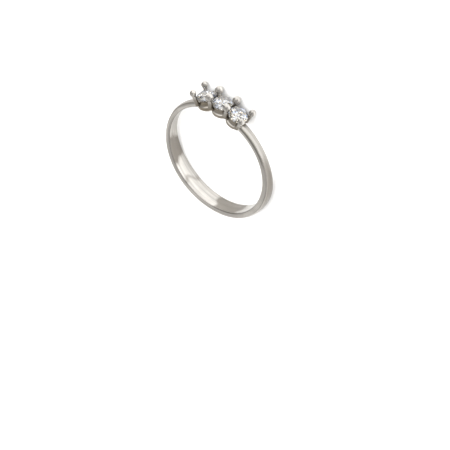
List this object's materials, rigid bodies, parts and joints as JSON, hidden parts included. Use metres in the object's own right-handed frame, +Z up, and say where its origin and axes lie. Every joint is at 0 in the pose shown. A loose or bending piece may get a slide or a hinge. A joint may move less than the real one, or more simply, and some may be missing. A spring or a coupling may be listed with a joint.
{
  "type": "three stone ring",
  "caption": "Narrow polished finger ring that tapers towards a row of round faceted stones, each held in a waisted cup by prongs with round beads.",
  "frame": {"origin": "on the floor under the middle of the ring's box", "axes": "+Z up, close to the finger hole's axis, as the ring lies on its side; +Y from the middle stone to the base of the band; +X to the left as one looks at the stones' tables"},
  "size_m": [0.0184, 0.0208, 0.0034],
  "materials": {
    "metal": "polished white gold, warm grey",
    "stone": "cut and polished, clear"
  },
  "bodies": {
    "root": {"band_and_setting": "metal", "stone_left": "stone", "stone_middle": "stone", "stone_right": "stone"}
  },
  "joints": []
}
